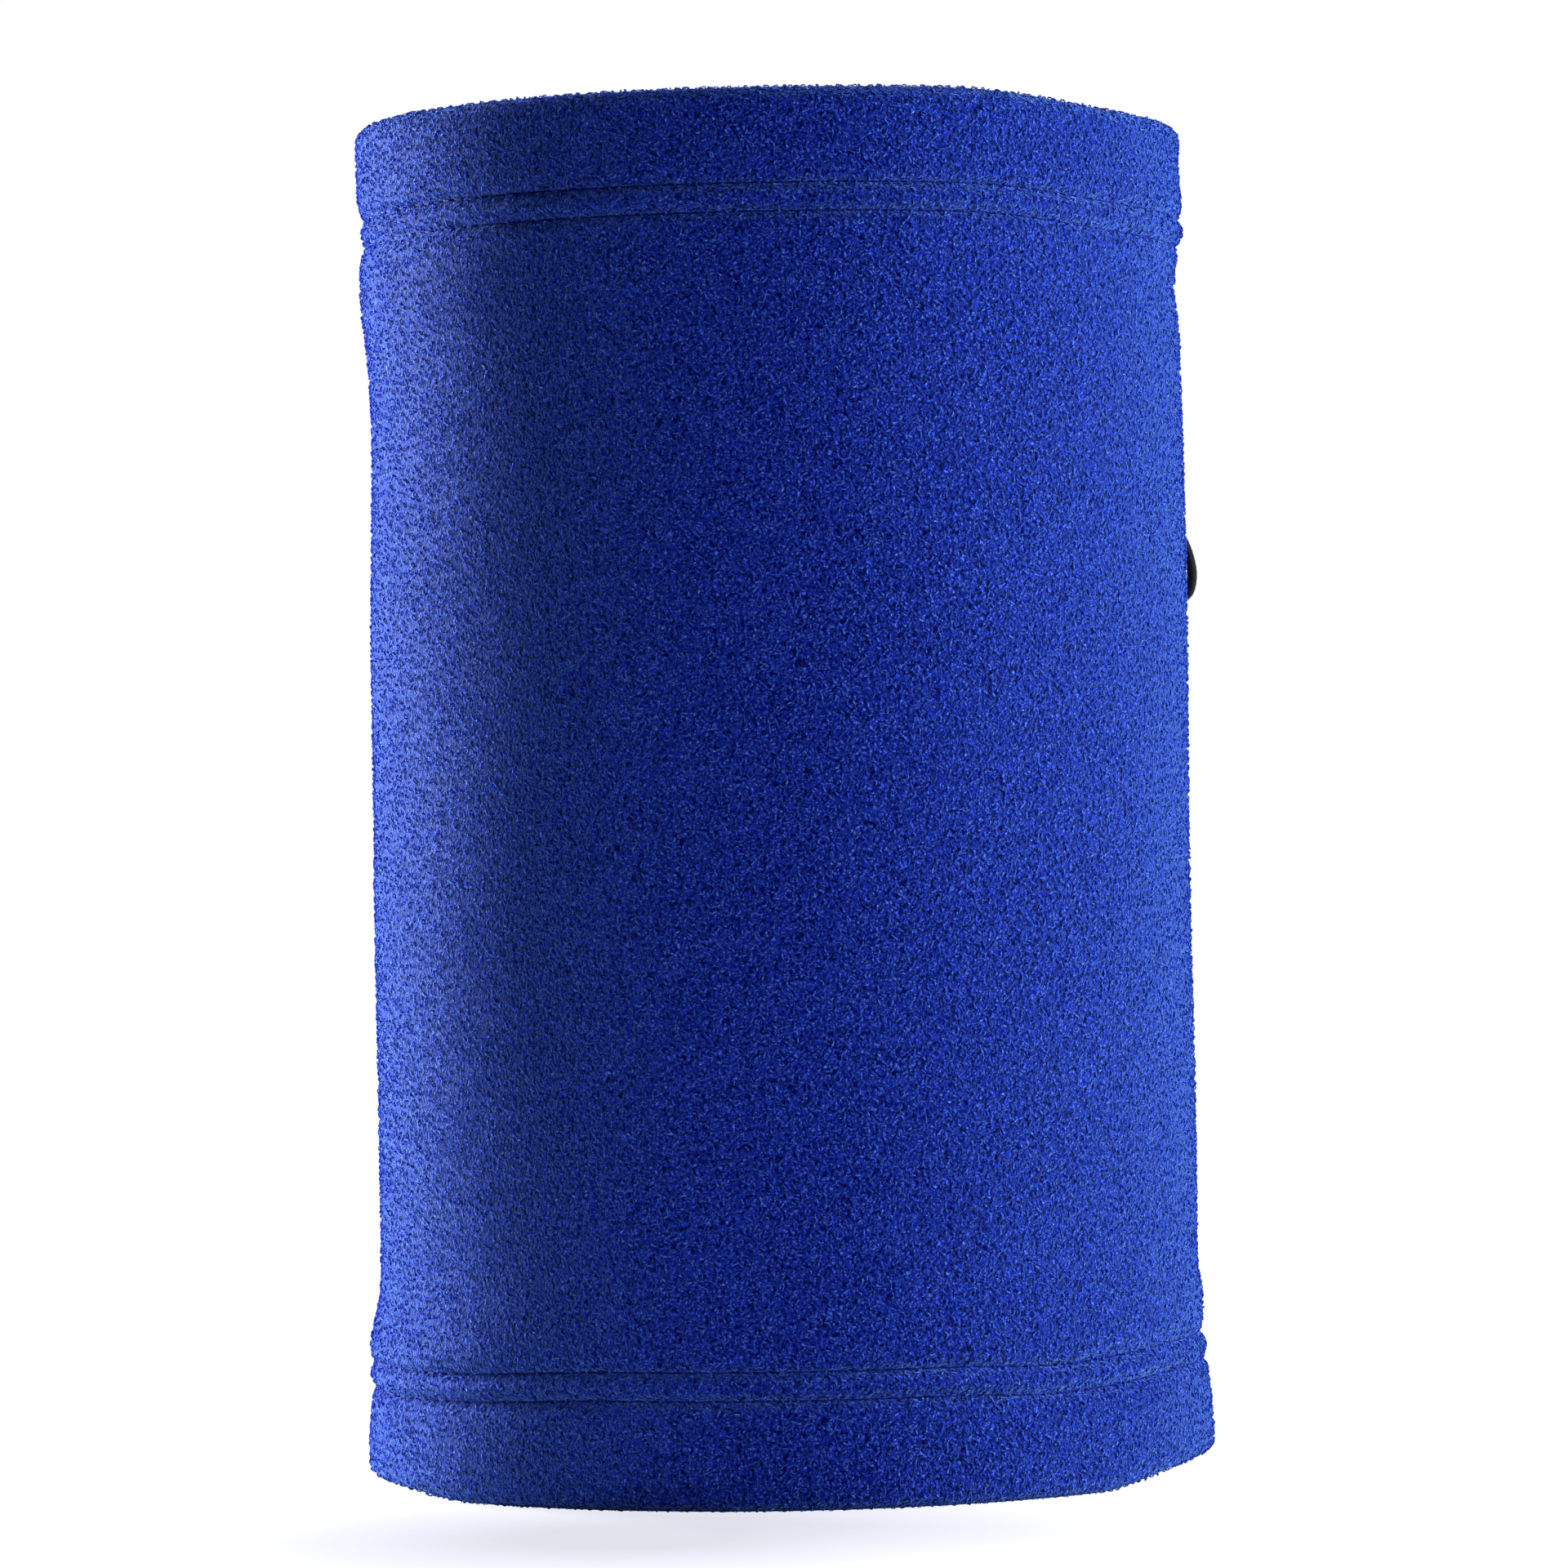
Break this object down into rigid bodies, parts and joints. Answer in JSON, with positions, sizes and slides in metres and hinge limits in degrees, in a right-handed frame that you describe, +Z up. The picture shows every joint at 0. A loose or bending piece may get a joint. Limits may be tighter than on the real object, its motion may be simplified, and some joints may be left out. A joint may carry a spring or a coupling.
{
  "type": "neck gaiter",
  "caption": "Fleece neck gaiter: an upright tube with folded, coverstitched hems, an elastic drawcord in the top hem, and a spring cord lock on the cord's loop at the back right.",
  "frame": {"origin": "middle of the tube's bottom edge, on the surface that it stands on", "axes": "+Z up along the tube to the drawcord hem; front towards -Y; the drawcord comes out at the back right, between +X and +Y; the back seam faces +Y"},
  "size_m": [0.1669, 0.165, 0.264],
  "materials": {
    "fleece": "royal blue brushed polyester fleece, matt with a soft pile",
    "sewing_thread": "blue polyester thread, slight sheen",
    "elastic_cord": "black braided sheath over an elastic core",
    "cord_lock_plastic": "black moulded acetal, fine satin texture",
    "eyelet_metal": "black enamelled brass",
    "spring_steel": "bright drawn spring wire",
    "label_ribbon": "white satin ribbon, blank"
  },
  "bodies": {
    "gaiter": {"fleece_body": "fleece", "top_hem_needle_thread_upper": "sewing_thread", "top_hem_needle_thread_lower": "sewing_thread", "top_hem_looper_thread": "sewing_thread", "bottom_hem_needle_thread_upper": "sewing_thread", "bottom_hem_needle_thread_lower": "sewing_thread", "bottom_hem_looper_thread": "sewing_thread", "back_seam_thread": "sewing_thread", "care_label": "label_ribbon", "eyelet_side": "eyelet_metal", "eyelet_washer_side": "eyelet_metal", "eyelet_seam": "eyelet_metal", "eyelet_washer_seam": "eyelet_metal", "drawcord_hem_run_long": "elastic_cord", "drawcord_hem_run_short": "elastic_cord", "drawcord_bartack": "sewing_thread", "drawcord_loop": "elastic_cord"},
    "cord_lock": {"cord_lock_barrel": "cord_lock_plastic", "cord_lock_spring": "spring_steel"},
    "lock_plunger": {"cord_lock_plunger": "cord_lock_plastic"}
  },
  "joints": [
    {"name": "cord_lock_slide", "type": "slide", "parent": "gaiter", "child": "cord_lock", "axis": [-0.201, 0.2767, 0.9397], "range_m": [-0.025, 0.007]},
    {"name": "plunger_press", "type": "slide", "parent": "cord_lock", "child": "lock_plunger", "axis": [-0.5523, 0.7602, -0.342], "range_m": [-0.0026, 0], "stiffness_N_per_m": 800, "springref_m": 0.004, "deforming": ["cord_lock_spring"]}
  ]
}
